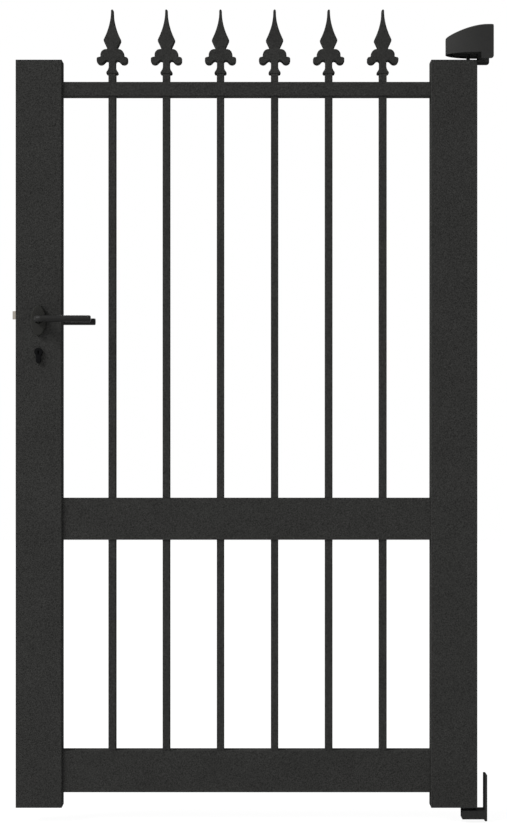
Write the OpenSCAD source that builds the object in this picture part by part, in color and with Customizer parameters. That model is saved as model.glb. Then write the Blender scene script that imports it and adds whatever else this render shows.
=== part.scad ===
// Garden gate leaf with spear-headed bars, lever lock and pillar hinges.
// Millimetres, +Z up, -Y is the street side, +X points at the hinge pillar.
// The origin is the centre of the lower hinge plate's back face, where it meets the pillar.

/* [Leaf] */
// Width of the leaf over its two stiles
leaf_w = 1000; // [850:10:1200]
// Height of the leaf over its stile caps
leaf_h = 1620; // [1400:10:1900]
// Width of each stile
stile_w = 100; // [90:1:120]
// Depth of each stile, front to back
stile_d = 40; // [38:1:50]
// Wall of the stile profile
stile_wall = 2; // [1.5:0.1:3]
// Outer corner radius of the stile profile
stile_edge_r = 1.5; // [0.5:0.1:3]
// Thickness of the plate of each stile cap
cap_t = 2; // [1:0.5:4]
// Depth that a cap's skirt reaches into its stile
cap_skirt_h = 12; // [6:1:20]
// Wall of a cap's skirt
cap_skirt_wall = 1.5; // [1:0.1:2.5]

/* [Rails] */
// Depth of the rails, front to back
rail_d = 30; // [28:0.5:34]
// Wall of the rail profiles
rail_wall = 2; // [1.5:0.1:2.2]
// Height of the top rail
top_rail_h = 30; // [24:1:60]
// Height of the middle and bottom rails
wide_rail_h = 90; // [60:1:120]
// Distance from the top of the leaf down to the top rail
top_rail_drop = 47; // [30:1:120]
// Height of the middle rail's underside above the foot of the leaf
mid_rail_z = 580; // [400:5:800]
// Height of the bottom rail's underside above the foot of the leaf
bottom_rail_z = 32.5; // [20:0.5:80]

/* [Bars] */
// Width of each bar, seen from the front
bar_w = 16; // [12:0.5:20]
// Depth of each bar, front to back
bar_d = 25; // [22:0.5:25]
// Wall of each bar
bar_wall = 1.5; // [1:0.1:2]
// Distance from one bar's centre to the next
bar_pitch = 117.6; // [90:0.1:122]
// How far the row of bars sits right of the leaf's middle
bar_shift = 2.3; // [-5:0.1:5]
// Length of bar that stands above the top rail
bar_stub = 18; // [5:0.5:60]

/* [Spearheads] */
// Thickness of the cast spearheads
spear_t = 24; // [18:0.5:26]
// Height of a spearhead above its bar
spear_h = 140.5; // [130:0.5:180]
// Half of the blade's greatest width
blade_half_w = 19; // [16:0.5:24]
// Half of the blunt tip's width
tip_half_w = 3; // [1.5:0.1:3]
// Half of the collar's width
collar_half_w = 13.3; // [12:0.1:16]
// How far the lower scrolls' round ends lie from the middle
scroll_out = 25; // [24:0.5:28]
// Depth that the spigot reaches into its bar
spigot_h = 25; // [15:1:40]

/* [Lever handles] */
// Height of the spindle above the foot of the leaf
handle_z = 1057; // [950:5:1150]
// Distance from the leaf's edge to the spindle
backset = 50; // [48:1:54]
// Reach of each lever from the spindle to its tip
lever_reach = 116; // [90:1:140]
// Distance from the stile's face to the middle of the grip
lever_offset = 35; // [32:1:50]
// Diameter of the grip
grip_d = 15; // [12:0.5:20]
// Diameter of the lever's neck
neck_d = 16; // [14:0.5:18]
// Side of the square spindle
spindle_w = 7; // [6:0.5:8]
// Width of the oval rose
rose_w = 34; // [32:1:40]
// Height of the oval rose
rose_h = 66; // [64:1:80]
// Thickness of the rose
rose_t = 8; // [5:0.5:12]
// Distance between the two screws of a rose
rose_screw_pitch = 53; // [51:0.5:56]

/* [Lock] */
// Drop from the spindle to the middle of the key barrel
barrel_drop = 70; // [70:0.5:80]
// How far the latch stands out at rest
latch_throw = 10; // [6:0.5:10]
// How far one turn of the key throws the dead bolt
bolt_throw = 14; // [10:0.5:20]
// Height of the latch head
latch_h = 18; // [16:0.5:18]
// Thickness of the latch head and the dead bolt
bolt_t = 12; // [10:0.5:12.5]
// Height of the dead bolt
bolt_h = 18; // [14:0.5:20]
// Thickness of the lock case, over its side plates
case_t = 16; // [15:0.5:18]
// Thickness of the lock case's plates
case_wall = 1.5; // [1:0.1:1.6]
// Width of the faceplate
faceplate_w = 22; // [20:0.5:26]
// Length of the faceplate
faceplate_h = 214; // [206:1:240]
// Length of the key cylinder
cylinder_len = 54; // [46:1:70]

/* [Pillar hinges] */
// Clear gap between the leaf's edge and the lower wall face
wall_gap = 21.8; // [20:0.1:30]
// Distance from the leaf's edge to the pivot axis
axis_inset = 17.6; // [16:0.1:20]
// Thickness of the wall plates
plate_t = 5; // [3:0.5:6]
// Height of the lower wall plate
lower_plate_h = 100; // [95:1:140]
// How far the lower wall plate rises above the foot of the leaf
lower_plate_rise = 70; // [64:1:90]
// Width of the lower bracket
lower_bracket_w = 32; // [26:1:40]
// Height of the lower bracket's arm
lower_arm_h = 19; // [12:1:22]
// Gap between the lower bracket's arm and the foot of the leaf
lower_gap = 7; // [5:0.5:12]
// Distance between the lower plate's two screw holes
lower_hole_pitch = 40; // [36:1:44]
// Diameter of the wall screws' clearance holes
wall_hole_d = 8.5; // [6.5:0.5:9]
// Diameter of the lower pivot pin
lower_pin_d = 12; // [10:0.5:14]
// Diameter of the upper pivot pin
upper_pin_d = 8; // [7:0.5:10]
// How much further right the upper wall face lies
upper_setback = 11.4; // [6:0.1:12]
// Height of the upper wall plate
upper_plate_h = 53.5; // [50:0.5:54]
// Width of the upper wall plate
upper_plate_w = 56; // [54:1:60]
// Distance between the upper plate's two screw holes
upper_hole_pitch = 34; // [30:1:36]
// Clear height from the top of the leaf to the adjustable arm
upper_arm_lift = 15; // [14:0.5:20]
// Thickness of the adjustable arm
upper_arm_t = 8; // [6:0.5:10]
// Width of the adjustable arm
upper_arm_w = 28; // [24:1:32]
// Diameter of the clamp nut under the arm
clamp_nut_d = 27; // [22:0.5:30]
// Width of the plastic hinge cover
cover_w = 72; // [70:1:80]
// Length of the cover, from the wall face to its nose
cover_len = 100; // [92:0.5:110]
// Wall of the cover
cover_wall = 2.5; // [2:0.1:3]

/* [Fits] */
// Radial play of turning shafts in their holes
turn_clear = 0.08; // [0.05:0.01:0.1]
// Play round pieces that slide or slip together
slip_clear = 0.3; // [0.2:0.05:0.4]
// Radial play of pressed bushes and of screws in their holes
seat_clear = 0.05; // [0.02:0.01:0.1]

/* [Hidden] */
$fn = 48;
over = 1;

BARS = 6;
leaf_x = -wall_gap - leaf_w;
leaf_z = lower_plate_h / 2 - lower_plate_rise;
axis_x = leaf_w - axis_inset;
lower_wall_x = leaf_w + wall_gap;
upper_wall_x = lower_wall_x + upper_setback;

inner_w = stile_w - 2 * stile_wall;
inner_d = stile_d - 2 * stile_wall;
face_y = stile_d / 2;
rail_len = leaf_w - 2 * stile_w;
top_rail_z = leaf_h - top_rail_drop - top_rail_h;
top_rail_top = top_rail_z + top_rail_h;
rail_edge_r = 1;
bar_foot_z = bottom_rail_z + rail_wall;
bar_top_z = top_rail_top + bar_stub;
// Height of the bars' screws above the underside of the rail
bar_screw_lift = 15;

m4_r = 2.1;
m5_r = 2.5;
pan_head_r = 3.8;
pan_head_h = 2.4;
connector_len = 30;
connector_wall = 4;
// Where a rail's rear screw enters the connector, from the stile
connector_back_x = 19.5;
// How far the connectors' screws lie inside the rail's upper and lower faces
connector_screw_inset = 10.7;
// How far a screw's thread comes out beyond the wall it holds
thread_out = 4;

block_h = 28;
block_w = 60;
block_x = leaf_w - stile_wall - slip_clear - block_w;
skirt_room = cap_t + cap_skirt_h + 2;
lower_block_z = skirt_room;
upper_block_z = leaf_h - skirt_room - block_h;
block_screw_len = 7;
// How much deeper a blind hole is than its screw
blind_extra = 0.5;
// The pocket that lightens a block leaves walls of this thickness
block_wall = 6;
bush_wall = 3;
flange_w = 3;
flange_t = 2;

cam_r = 15;
cam_t = 10;
barrel_z = handle_z - barrel_drop;
rose_z = handle_z - 2;
case_x = stile_wall;
case_w = backset + cam_r + 5 - case_x;
case_z = barrel_z - 35;
case_h = handle_z + 37 - case_z;
case_in = case_t / 2 - case_wall;
faceplate_z = (case_z + case_z + case_h - faceplate_h) / 2;
face_screw_inset = 6;
backing_t = 3;
backing_w = 32;
backing_h = 28;
hub_r = 9;
journal_r = 7.5;
arm_r = 13;
arm_tip_r = 2;
arm_t = 4;
latch_z = handle_z + arm_r + arm_tip_r - latch_h + 5;
tail_z = handle_z + arm_r + arm_tip_r + 0.5;
tail_h = 3;
hook_t = 4;
spring_z = latch_z + 5;
spring_stop_x = 34;
latch_back_x = 14;

grip_edge_r = 2.4;

profile_r = 8.5;
profile_leg_w = 10;
profile_drop = 24.5;
plug_r = 6.5;
cylinder_screw_drop = 18.5;
bolt_z = barrel_z + cam_r + slip_clear + 1.7;

// How far the lower bush stands out under the leaf, and how far a pin's end stops short
foot_out = 1;
pin_short = 2;
// How far the lower arm reaches beyond the collar on its pin
lower_arm_over = 2.3;

arm_z = leaf_h + upper_arm_lift;
shelf_z = arm_z + upper_arm_t;
shelf_t = 6;
shelf_w = 40;
shelf_reach = 31;
upper_plate_z = arm_z + 0.5;
upper_hole_z = (shelf_z + shelf_t + upper_plate_z + upper_plate_h) / 2;
upper_nose_out = 20;
pin_head_h = 5;
clamp_x = upper_wall_x - 18.4;
clamp_r = 5;
clamp_head_r = 9.2;
clamp_head_h = 6.4;
// The arm's slot lets the leaf be lined up by this much each way
slot_play = 3;
spanner_hole_r = 1.5;
spanner_hole_h = 4;
clamp_nut_h = upper_arm_lift - 1;
cover_foot_z = arm_z - 1.2;
cover_skirt_z = leaf_h;
cover_top_z = leaf_h + 74.5;
// The crown falls by this much to the nose, along a curve of this power
cover_drop = 24.2;
cover_fall = 1.65;
// The cover is straight-sided over this length at the wall, and its crown is level over this one
cover_straight = 27;
cover_level = 14;
cover_rib_h = 40;

// Places its children in the frame of the closed leaf: X from the latch edge, Z from the foot
module in_leaf() translate([leaf_x, 0, leaf_z]) children();

// A rod along Y, centred on the origin unless it starts there
module rod_y(r, len, centred = true) {
    rotate([90, 0, 0]) cylinder(r = r, h = len, center = centred);
}

// A rod that starts at the origin and runs along +X
module rod_x(r, len) {
    rotate([0, 90, 0]) cylinder(r = r, h = len);
}

// A rectangle centred on the origin with round corners
module round_rect(w, d, r) {
    square([w - 2 * r, d], center = true);
    square([w, d - 2 * r], center = true);
    for (x = [-1, 1], y = [-1, 1])
        translate([x * (w / 2 - r), y * (d / 2 - r)]) circle(r);
}

// A hollow profile standing on Z = 0
module tube(w, d, wall, r, len) {
    linear_extrude(len) difference() {
        round_rect(w, d, r);
        square([w - 2 * wall, d - 2 * wall], center = true);
    }
}

// Turns a shape drawn in X and Z and extrudes it evenly to both sides of Y = 0
module slab_y(t) {
    rotate([90, 0, 0]) linear_extrude(t, center = true) children();
}

// Points on an arc round c, from angle a to angle b in n steps: squash makes it lower than it is wide
function arc(c, r, a, b, n, squash = 1) =
    [for (i = [0:n]) let (t = a + (b - a) * i / n) [c.x + r * cos(t), c.y + r * squash * sin(t)]];

function mirrored(points) =
    concat(points, [for (i = [len(points) - 1:-1:0]) [-points[i].x, points[i].y]]);

// A self-tapping screw with a pan head: the head lies on Y > 0, the thread reaches into -Y
module pan_screw(len) {
    rotate([-90, 0, 0]) union() {
        cylinder(r1 = pan_head_r, r2 = pan_head_r * 0.7, h = pan_head_h);
        translate([0, 0, -len]) cylinder(r = m4_r, h = len + 0.1);
    }
}

// A countersunk screw along +X: the head is flush with X = 0
module flush_screw(r, len) {
    rod_x(r, len);
    rotate([0, 90, 0]) cylinder(r1 = 1.8 * r, r2 = r, h = 0.8 * r);
}

// A round wire of radius r swept along a list of points
module wire(points, r, sides = 8) {
    n = len(points);
    function along(i) =
        let (d = points[min(i + 1, n - 1)] - points[max(i - 1, 0)]) d / norm(d);
    ring = [for (i = [0:n - 1])
        let (t = along(i), u = cross(t, [0.03, 0.06, 1]), a = u / norm(u), b = cross(t, a))
        for (k = [0:sides - 1]) points[i] + r * (cos(360 * k / sides) * a + sin(360 * k / sides) * b)];
    skin = [for (i = [0:n - 2], k = [0:sides - 1]) let (m = (k + 1) % sides)
        [i * sides + k, i * sides + m, (i + 1) * sides + m, (i + 1) * sides + k]];
    polyhedron(ring, concat(skin,
        [[for (k = [sides - 1:-1:0]) k], [for (k = [0:sides - 1]) (n - 1) * sides + k]]));
}

/* ---- leaf frame ---- */

module stile() {
    translate([stile_w / 2, 0, cap_t])
        tube(stile_w, stile_d, stile_wall, stile_edge_r, leaf_h - 2 * cap_t);
}

// The key cylinder's outline, in X and Z round the middle of the barrel
module cylinder_profile(grow = 0) {
    circle(profile_r + grow);
    translate([-profile_leg_w / 2 - grow, -profile_drop + profile_leg_w / 2])
        square([profile_leg_w + 2 * grow, profile_drop - profile_leg_w / 2]);
    translate([0, -profile_drop + profile_leg_w / 2]) circle(profile_leg_w / 2 + grow);
}

// Each rail's underside and height, from the foot up
rails = [[bottom_rail_z, wide_rail_h], [mid_rail_z, wide_rail_h], [top_rail_z, top_rail_h]];
function connector_screw_zs(rail) =
    [rail[0] + connector_screw_inset, rail[0] + rail[1] - connector_screw_inset];

module connector_screw_holes(x) {
    for (rail = rails, z = connector_screw_zs(rail))
        translate([x, 0, z]) rod_x(m4_r + seat_clear, stile_wall + 2 * over);
}

module latch_stile() {
    color("#31343a") in_leaf() difference() {
        stile();
        connector_screw_holes(stile_w - stile_wall - over);
        translate([-over, -faceplate_w / 2 - seat_clear, faceplate_z - seat_clear])
            cube([stile_wall + over + 0.01, faceplate_w + 2 * seat_clear, faceplate_h + 2 * seat_clear]);
        translate([backset, 0, handle_z]) rod_y(spindle_w + slip_clear, stile_d + 2 * over);
        translate([backset, 0, barrel_z]) slab_y(stile_d + 2 * over) cylinder_profile(slip_clear);
        rose_screw_holes(stile_d + 2 * over);
    }
}

module hinge_stile() {
    color("#31343a") in_leaf() difference() {
        translate([leaf_w - stile_w, 0, 0]) stile();
        connector_screw_holes(leaf_w - stile_w - over);
        for (z = block_screw_zs())
            translate([leaf_w + seat_clear, 0, z]) mirror([1, 0, 0])
                flush_screw(m5_r + seat_clear, stile_wall + over);
    }
}

// A rail along X with slots for the bars in the walls named: 1 is the upper wall, -1 the lower
module rail(z, h, slots) {
    in_leaf() difference() {
        translate([stile_w, 0, z + h / 2]) rotate([0, 90, 0])
            tube(h, rail_d, rail_wall, rail_edge_r, rail_len);
        for (i = [1:BARS], s = slots)
            translate([bar_x(i), 0, z + h / 2 + s * (h / 2 - rail_wall / 2)])
                cube([bar_w + 2 * slip_clear, bar_d + 2 * slip_clear, rail_wall + over], center = true);
        for (x = rail_screw_xs())
            translate([x, rail_d / 2 + over, z + h / 2])
                rod_y(m4_r + seat_clear, rail_wall + 2 * over, false);
        if (h == top_rail_h || z == bottom_rail_z)
            for (i = [1:BARS])
                translate([bar_x(i), rail_d / 2 + over, z + bar_screw_lift])
                    rod_y(m4_r + seat_clear, rail_wall + 2 * over, false);
    }
}

function bar_x(i) = leaf_w / 2 + bar_shift + (i - (BARS + 1) / 2) * bar_pitch;
function rail_screw_xs() = [stile_w + connector_back_x, leaf_w - stile_w - connector_back_x];

module top_rail() {
    color("#31343a") rail(top_rail_z, top_rail_h, [-1, 1]);
}

module mid_rail() {
    color("#31343a") rail(mid_rail_z, wide_rail_h, [-1, 1]);
}

module bottom_rail() {
    color("#31343a") rail(bottom_rail_z, wide_rail_h, [1]);
}

module bar(i) {
    color("#31343a") in_leaf() difference() {
        translate([bar_x(i), 0, bar_foot_z]) tube(bar_w, bar_d, bar_wall, 1, bar_top_z - bar_foot_z);
        for (z = [bottom_rail_z, top_rail_z])
            translate([bar_x(i), bar_d / 2 + over, z + bar_screw_lift])
                rod_y(m4_r + seat_clear, bar_wall + 2 * over, false);
    }
}

/* ---- spearheads: outline heights are measured from the top of the bar ---- */

flare_z = 5;
neck_z = 16.5;
neck_half_w = 8;
bead_r = 3.2;
arch_r = 3.8;
arch_c = [neck_half_w + arch_r, 25.6];
scroll_c = [scroll_out, 30.1];
scroll_r = 9.2;
// The scrolls are this much flatter than they are wide
scroll_squash = 0.9;
corner_r = 4;
corner_c = [scroll_out + scroll_r - corner_r, 33.2];
lobe_r = 12.9;
lobe_c = [scroll_out - 11.8, 41.8];
waist_half_w = 11.4;
shoulder_r = 4;
shoulder_c = [blade_half_w - shoulder_r, 74];

// The blade's hollow flank: a parabola that is upright at the tip
function flank(t) =
    let (low = shoulder_c.y + 1.8, top = spear_h - tip_half_w, x1 = blade_half_w - 0.4)
    [tip_half_w + (x1 - tip_half_w) * pow(1 - t, 2), low + (top - low) * t];

// The collar's flare: a parabola that is upright where it meets the neck
function flare(t) =
    [neck_half_w + (collar_half_w - 0.4 - neck_half_w) * pow(1 - t, 2), flare_z + (neck_z - flare_z) * t];

module spear_outline() {
    polygon(mirrored(concat(
        [[collar_half_w - 4.5, 0]],
        arc([collar_half_w - bead_r, 3.4], bead_r, -75, 25, 8),
        [for (i = [0:7]) flare(i / 7)],
        arc(arch_c, arch_r, 180, 50, 8),
        arc(scroll_c, scroll_r, 215, 360, 13, scroll_squash),
        arc(corner_c, corner_r, 0, 80, 5),
        [[scroll_out + 1, 38.3]],
        arc(lobe_c, lobe_r, -12, 96, 14),
        [[waist_half_w, 55.4], [waist_half_w, 57.6]],
        arc(shoulder_c, shoulder_r, -27, 26, 5),
        [for (i = [1:14]) flank(i / 14)],
        arc([0, spear_h - tip_half_w], tip_half_w, 30, 90, 4))));
}

module spear(i) {
    color("#31343a") in_leaf() translate([bar_x(i), 0, bar_top_z]) {
        slab_y(spear_t) spear_outline();
        translate([0, 0, -spigot_h / 2]) cube([
            bar_w - 2 * bar_wall - 2 * slip_clear,
            bar_d - 2 * bar_wall - 2 * slip_clear,
            spigot_h + 0.2], center = true);
    }
}

/* ---- stile caps, connectors and screws ---- */

// A cap lying under Z = 0 with its skirt pointing up
module cap() {
    linear_extrude(cap_t) round_rect(stile_w, stile_d, stile_edge_r);
    skirt_w = inner_w - 2 * slip_clear;
    skirt_d = inner_d - 2 * slip_clear;
    translate([0, 0, cap_t - 0.01]) tube(skirt_w, skirt_d, cap_skirt_wall, 0.8, cap_skirt_h);
}

module latch_stile_top_cap() {
    color("#26282c") in_leaf()
        translate([stile_w / 2, 0, leaf_h]) mirror([0, 0, 1]) cap();
}

module hinge_stile_top_cap() {
    color("#26282c") in_leaf() difference() {
        translate([leaf_w - stile_w / 2, 0, leaf_h]) mirror([0, 0, 1]) cap();
        translate([axis_x, 0, leaf_h - cap_t - over])
            cylinder(r = upper_pin_d / 2 + 1, h = cap_t + 2 * over);
    }
}

module latch_stile_foot_cap() {
    color("#26282c") in_leaf() translate([stile_w / 2, 0, 0]) cap();
}

module hinge_stile_foot_cap() {
    color("#26282c") in_leaf() difference() {
        translate([leaf_w - stile_w / 2, 0, 0]) cap();
        translate([axis_x, 0, -over])
            cylinder(r = lower_foot_r() + slip_clear, h = cap_t + 2 * over);
    }
}

// A cup in the end of a rail: its floor is screwed to the stile, its back wall to the rail
module connector(rail, side) {
    h = rail[1] - 2 * rail_wall - 2 * slip_clear;
    d = rail_d - 2 * rail_wall - 2 * slip_clear;
    x = side < 0 ? stile_w : leaf_w - stile_w;
    translate([x, 0, rail[0] + rail[1] / 2]) mirror([side > 0 ? 1 : 0, 0, 0]) difference() {
        translate([0, -d / 2, -h / 2]) cube([connector_len, d, h]);
        translate([connector_wall, -d / 2 + connector_wall, -h / 2 + connector_wall])
            cube([connector_len, d - 2 * connector_wall, h - 2 * connector_wall]);
        for (z = connector_screw_zs(rail))
            translate([-over, 0, z - rail[0] - rail[1] / 2])
                rod_x(m4_r + seat_clear, connector_wall + 2 * over);
        translate([connector_back_x, d / 2 + over, 0])
            rod_y(m4_r + seat_clear, connector_wall + 2 * over, false);
    }
}

module top_rail_connectors() {
    color("#9a9da1") in_leaf() for (side = [-1, 1]) connector(rails[2], side);
}

module wide_rail_connectors() {
    color("#9a9da1") in_leaf() for (i = [0, 1], side = [-1, 1]) connector(rails[i], side);
}

module connector_screws() {
    color("#c9ccd0") in_leaf() for (rail = rails, z = connector_screw_zs(rail)) {
        translate([stile_w + connector_wall, 0, z]) rotate([0, 0, -90])
            pan_screw(connector_wall + stile_wall + thread_out);
        translate([leaf_w - stile_w - connector_wall, 0, z]) rotate([0, 0, 90])
            pan_screw(connector_wall + stile_wall + thread_out);
    }
}

module rail_screws() {
    color("#31343a") in_leaf() for (rail = rails, x = rail_screw_xs())
        translate([x, rail_d / 2, rail[0] + rail[1] / 2]) pan_screw(rail_wall + slip_clear + connector_wall);
}

module bar_screws() {
    color("#31343a") in_leaf() for (z = [bottom_rail_z, top_rail_z], i = [1:BARS])
        translate([bar_x(i), rail_d / 2, z + bar_screw_lift])
            pan_screw((rail_d - bar_d) / 2 + bar_wall + 1);
}

/* ---- pivots in the hinge stile ---- */

function upper_bush_r() = upper_pin_d / 2 + turn_clear + bush_wall;
function lower_bush_r() = lower_pin_d / 2 + turn_clear + bush_wall;
function lower_foot_r() = lower_bush_r() + flange_w;
function block_screw_zs() = [lower_block_z + block_h / 2, upper_block_z + block_h / 2];

// A block that fills the stile's hinge side and is screwed to its edge wall
module pivot_block(z, bore_r) {
    d = inner_d - 2 * slip_clear;
    color("#a5a8ac") in_leaf() difference() {
        translate([block_x, -d / 2, z]) cube([block_w, d, block_h]);
        translate([axis_x, 0, z - over]) cylinder(r = bore_r + seat_clear, h = block_h + 2 * over);
        translate([block_x + block_wall, -d / 2 + block_wall, z - over])
            cube([axis_x - bore_r - block_x - 2 * block_wall, d - 2 * block_wall, block_h + 2 * over]);
        translate([leaf_w, 0, z + block_h / 2]) mirror([1, 0, 0])
            rod_x(m5_r + seat_clear, block_screw_len + blind_extra);
    }
}

module upper_pivot_block() {
    pivot_block(upper_block_z, upper_bush_r());
}

module lower_pivot_block() {
    pivot_block(lower_block_z, lower_bush_r());
}

module pivot_block_screws() {
    color("#c9ccd0") in_leaf() for (z = block_screw_zs())
        translate([leaf_w, 0, z]) mirror([1, 0, 0]) flush_screw(m5_r, block_screw_len);
}

module upper_bush() {
    color("#e4e2da") in_leaf() translate([axis_x, 0, upper_block_z]) difference() {
        union() {
            cylinder(r = upper_bush_r(), h = block_h);
            translate([0, 0, block_h]) cylinder(r = upper_bush_r() + flange_w, h = flange_t);
        }
        translate([0, 0, -over]) cylinder(r = upper_pin_d / 2 + turn_clear, h = block_h + flange_t + 2 * over);
    }
}

// The lower bush carries the leaf: its wide foot stands on the pin's collar
module lower_bush() {
    color("#e4e2da") in_leaf() translate([axis_x, 0, 0]) difference() {
        union() {
            translate([0, 0, lower_block_z - 0.1]) cylinder(r = lower_bush_r(), h = block_h + 0.1);
            translate([0, 0, -foot_out]) cylinder(r = lower_foot_r(), h = lower_block_z + foot_out);
        }
        translate([0, 0, -foot_out - over]) cylinder(
            r = lower_pin_d / 2 + turn_clear, h = lower_block_z + block_h + foot_out + 2 * over);
    }
}

/* ---- pillar brackets ---- */

// A countersunk clearance hole for a wall screw, drilled along +X into a plate's free side at X = 0
module wall_hole() {
    translate([-over, 0, 0]) rod_x(wall_hole_d / 2, plate_t + 2 * over);
    translate([-0.01, 0, 0]) rotate([0, 90, 0])
        cylinder(r1 = wall_hole_d, r2 = wall_hole_d / 2, h = wall_hole_d / 2);
}

module lower_bracket() {
    x0 = axis_x - lower_foot_r() - lower_arm_over;
    w = lower_bracket_w;
    plate_x = lower_wall_x - plate_t;
    hole_z = (lower_plate_rise - lower_gap) / 2;
    color("#31343a") in_leaf() difference() {
        union() {
            translate([plate_x, -w / 2, lower_plate_rise - lower_plate_h]) cube([plate_t, w, lower_plate_h]);
            translate([x0, -w / 2, -lower_gap - lower_arm_h])
                cube([plate_x - x0 + 0.1, w, lower_arm_h]);
        }
        translate([axis_x, 0, -lower_gap - lower_arm_h - over])
            cylinder(r = lower_pin_d / 2 + seat_clear, h = lower_arm_h + 2 * over);
        for (s = [-1, 1])
            translate([plate_x, 0, hole_z + s * lower_hole_pitch / 2]) wall_hole();
    }
}

module lower_pin() {
    color("#26282c") in_leaf() translate([axis_x, 0, -lower_gap]) {
        translate([0, 0, -lower_arm_h]) cylinder(r = lower_pin_d / 2, h = lower_arm_h + 0.1);
        cylinder(r = lower_foot_r() - foot_out, h = lower_gap - foot_out);
        translate([0, 0, lower_gap - foot_out - 0.1])
            cylinder(r = lower_pin_d / 2, h = foot_out + lower_block_z + block_h - pin_short);
    }
}

module upper_bracket() {
    x = upper_wall_x - plate_t;
    z = upper_plate_z;
    color("#31343a") in_leaf() difference() {
        union() {
            translate([x, -upper_plate_w / 2, z]) cube([plate_t, upper_plate_w, upper_plate_h]);
            translate([upper_wall_x - shelf_reach, -shelf_w / 2, shelf_z])
                cube([shelf_reach - plate_t + 0.1, shelf_w, shelf_t]);
        }
        translate([clamp_x, 0, shelf_z - over]) cylinder(r = clamp_r + slip_clear, h = shelf_t + 2 * over);
        for (s = [-1, 1])
            translate([x, s * upper_hole_pitch / 2, upper_hole_z]) wall_hole();
    }
}

module hinge_arm() {
    nose_x = axis_x - upper_nose_out;
    end_x = upper_wall_x - plate_t - 0.1;
    color("#31343a") in_leaf() translate([0, 0, arm_z]) difference() {
        union() {
            translate([nose_x, 0, 0]) cylinder(r = upper_arm_w / 2, h = upper_arm_t);
            translate([nose_x, -upper_arm_w / 2, 0]) cube([end_x - nose_x, upper_arm_w, upper_arm_t]);
        }
        translate([axis_x, 0, -over]) cylinder(r = upper_pin_d / 2 + seat_clear, h = upper_arm_t + 2 * over);
        for (dx = [-slot_play, slot_play])
            translate([clamp_x + dx, 0, -over]) cylinder(r = clamp_r + slip_clear, h = upper_arm_t + 2 * over);
        translate([clamp_x - slot_play, -clamp_r - slip_clear, -over])
            cube([2 * slot_play, 2 * (clamp_r + slip_clear), upper_arm_t + 2 * over]);
    }
}

module upper_pin() {
    color("#26282c") in_leaf() translate([axis_x, 0, 0]) {
        translate([0, 0, upper_block_z + pin_short])
            cylinder(r = upper_pin_d / 2, h = arm_z + upper_arm_t - upper_block_z - pin_short + 0.1);
        translate([0, 0, arm_z + upper_arm_t]) cylinder(r = upper_pin_d / 2 + flange_w, h = pin_head_h);
    }
}

module clamp_bolt() {
    color("#26282c") in_leaf() translate([clamp_x, 0, 0]) {
        translate([0, 0, arm_z - clamp_nut_h + pin_short])
            cylinder(r = clamp_r, h = shelf_z + shelf_t - arm_z + clamp_nut_h - pin_short + 0.1);
        translate([0, 0, shelf_z + shelf_t]) cylinder(r = clamp_head_r, h = clamp_head_h, $fn = 6);
    }
}

module clamp_nut() {
    color("#26282c") in_leaf() translate([clamp_x, 0, arm_z - clamp_nut_h]) difference() {
        union() {
            cylinder(r1 = clamp_nut_d / 2 - 1, r2 = clamp_nut_d / 2, h = 1);
            translate([0, 0, 1]) cylinder(r = clamp_nut_d / 2, h = clamp_nut_h - 1);
        }
        translate([0, 0, -over]) cylinder(r = clamp_r + seat_clear, h = clamp_nut_h + 2 * over);
        for (s = [-1, 1])
            translate([0, s * (clamp_nut_d / 2 + clamp_r) / 2, -over])
                cylinder(r = spanner_hole_r, h = spanner_hole_h + over);
    }
}

// The cover's outline from above: a half ellipse on a straight-sided skirt, shrunk by inset
module cover_plan(inset) {
    a = cover_len - cover_straight - inset;
    b = cover_w / 2 - inset;
    x0 = upper_wall_x - cover_straight;
    polygon(concat(
        [for (t = [90:6:270]) [x0 + a * cos(t), b * sin(t)]],
        [[upper_wall_x + (inset > 0 ? over : 0), -b], [upper_wall_x + (inset > 0 ? over : 0), b]]));
}

// The cover's outline from the side: its crown falls away towards the nose
module cover_side(inset) {
    nose_x = upper_wall_x - cover_len;
    run = cover_len - cover_level;
    foot = cover_foot_z - (inset > 0 ? 20 : 0);
    skirt = cover_skirt_z - (inset > 0 ? 20 : 0);
    end_x = upper_wall_x + (inset > 0 ? 2 * over : 0);
    polygon(concat(
        [[nose_x, foot], [upper_wall_x - cover_straight, foot],
            [upper_wall_x - cover_straight + 1, skirt], [end_x, skirt]],
        [[end_x, cover_top_z - inset]],
        [for (i = [0:10]) let (t = i / 10)
            [upper_wall_x - cover_level - run * t, cover_top_z - inset - cover_drop * pow(t, cover_fall)]]));
}

module cover_shell(inset) {
    intersection() {
        translate([0, 0, leaf_h - 20]) linear_extrude(120) cover_plan(inset);
        slab_y(cover_w + 10) cover_side(inset);
    }
}

module hinge_cover() {
    rib_y = upper_plate_w / 2 + slip_clear;
    rib_t = cover_w / 2 - cover_wall - rib_y + 0.2;
    color("#2b2d31") in_leaf() {
        difference() {
            cover_shell(0);
            cover_shell(cover_wall);
        }
        for (s = [-1, 1])
            translate([upper_wall_x - plate_t, s > 0 ? rib_y : -rib_y - rib_t, cover_foot_z + 3])
                cube([plate_t, rib_t, cover_rib_h]);
    }
}

/* ---- lock ---- */

module rose_screw_holes(len) {
    for (s = [-1, 1])
        translate([backset, 0, rose_z + s * rose_screw_pitch / 2]) rod_y(m4_r + slip_clear, len);
}

// Cuts both side plates of the case for the follower, the cylinder and the rose screws
module case_cuts() {
    translate([backset, 0, handle_z]) rod_y(journal_r + turn_clear, case_t + 2 * over);
    translate([backset, 0, barrel_z]) slab_y(case_t + 2 * over) cylinder_profile(slip_clear);
    rose_screw_holes(case_t + 2 * over);
}

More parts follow.
